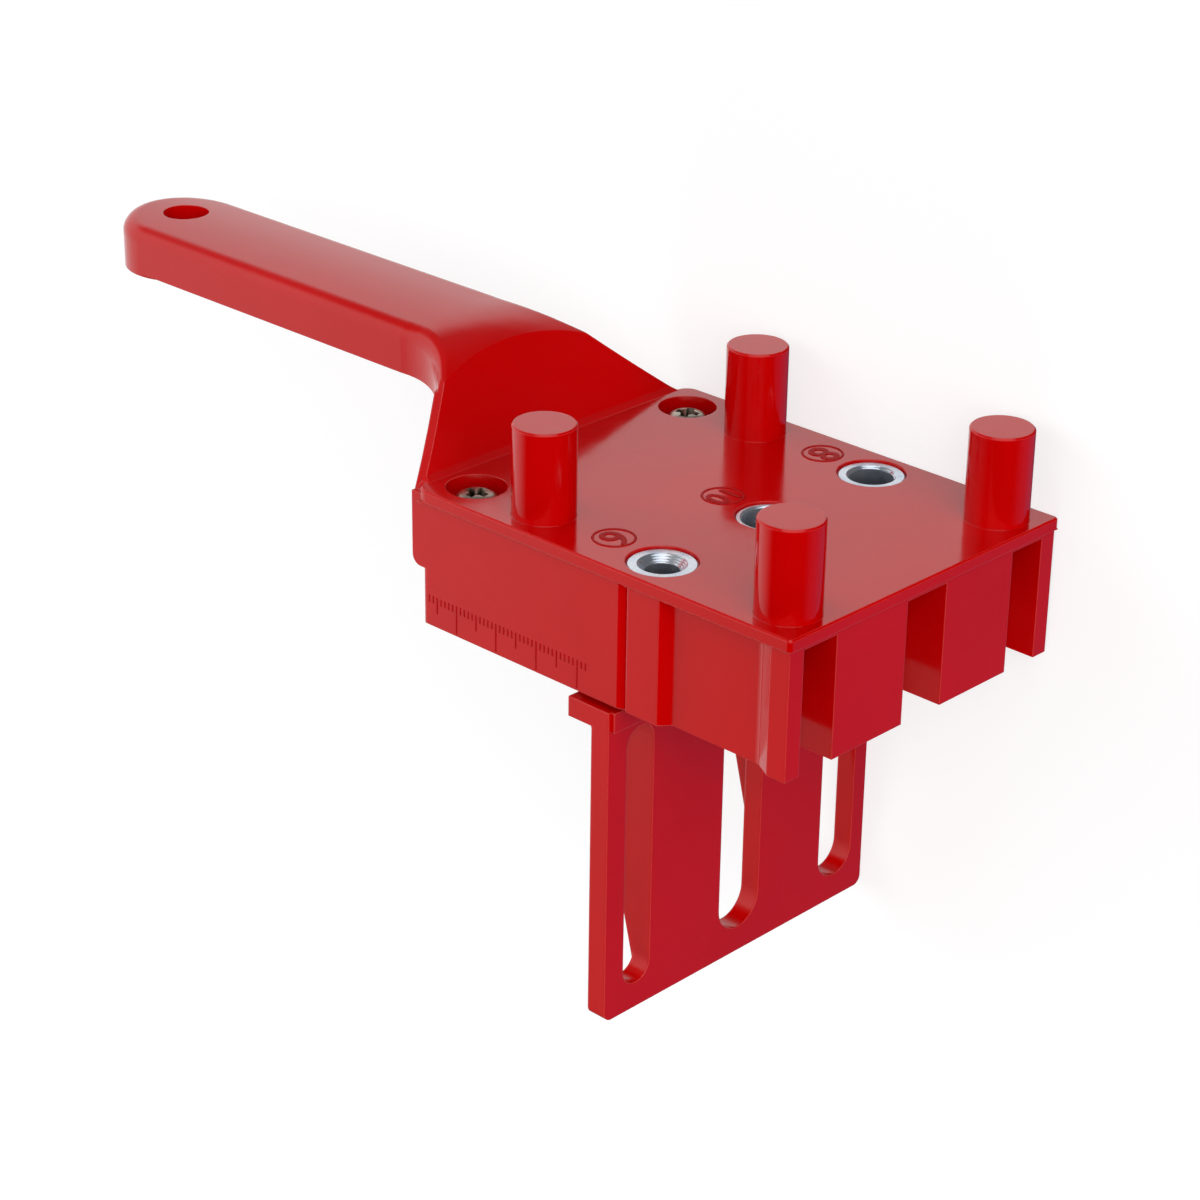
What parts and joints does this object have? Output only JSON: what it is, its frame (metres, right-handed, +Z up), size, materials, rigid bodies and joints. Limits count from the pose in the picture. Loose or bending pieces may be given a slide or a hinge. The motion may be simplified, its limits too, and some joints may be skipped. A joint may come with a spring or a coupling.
{
  "type": "doweling jig",
  "caption": "Hand-held doweling jig: block with a handle, locating pins and steel drill bushes, over a slotted sliding fence that two screws clamp.",
  "frame": {"origin": "middle of the overall box, on the surface that the jig lies on", "axes": "the jig lies on its left side: +X from the handle to the front edge of the plate, +Y the way its pins point, +Z up, which is the jig's right side"},
  "size_m": [0.2066, 0.1074, 0.0713],
  "materials": {
    "red_plastic": "glossy moulded red plastic with faint flow marks and scuffs",
    "bush_steel": "bright zinc-plated turned steel",
    "yellow_zinc": "yellow zinc-plated steel"
  },
  "bodies": {
    "body": {"jig_body": "red_plastic", "drill_bush_6mm": "bush_steel", "drill_bush_10mm": "bush_steel", "drill_bush_8mm": "bush_steel"},
    "fence": {"sliding_fence": "red_plastic"},
    "right_screw": {"right_clamp_screw": "yellow_zinc"},
    "left_screw": {"left_clamp_screw": "yellow_zinc"},
    "right_nut": {"right_clamp_nut": "yellow_zinc"},
    "left_nut": {"left_clamp_nut": "yellow_zinc"}
  },
  "joints": [
    {"name": "fence_slide", "type": "slide", "parent": "body", "child": "fence", "axis": [-1, 0, 0], "range_m": [0, 0.03]},
    {"name": "right_nut_travel", "type": "slide", "parent": "body", "child": "right_nut", "axis": [0, -1, 0], "range_m": [0, 0.0007]},
    {"name": "right_screw_turn", "type": "hinge", "parent": "body", "child": "right_screw", "pos_m": [0.02285, 0.0323, 0.0632], "axis": [0, 1, 0], "range_deg": [0, 360]},
    {"name": "left_nut_travel", "type": "slide", "parent": "body", "child": "left_nut", "axis": [0, -1, 0], "range_m": [0, 0.0007]},
    {"name": "left_screw_turn", "type": "hinge", "parent": "body", "child": "left_screw", "pos_m": [0.02285, 0.0323, 0.0081], "axis": [0, 1, 0], "range_deg": [0, 360]}
  ],
  "couplings": [
    {"joint": "right_screw_turn", "follows": "right_nut_travel", "rad_per_m": 8975.9},
    {"joint": "left_screw_turn", "follows": "left_nut_travel", "rad_per_m": 8975.9}
  ]
}
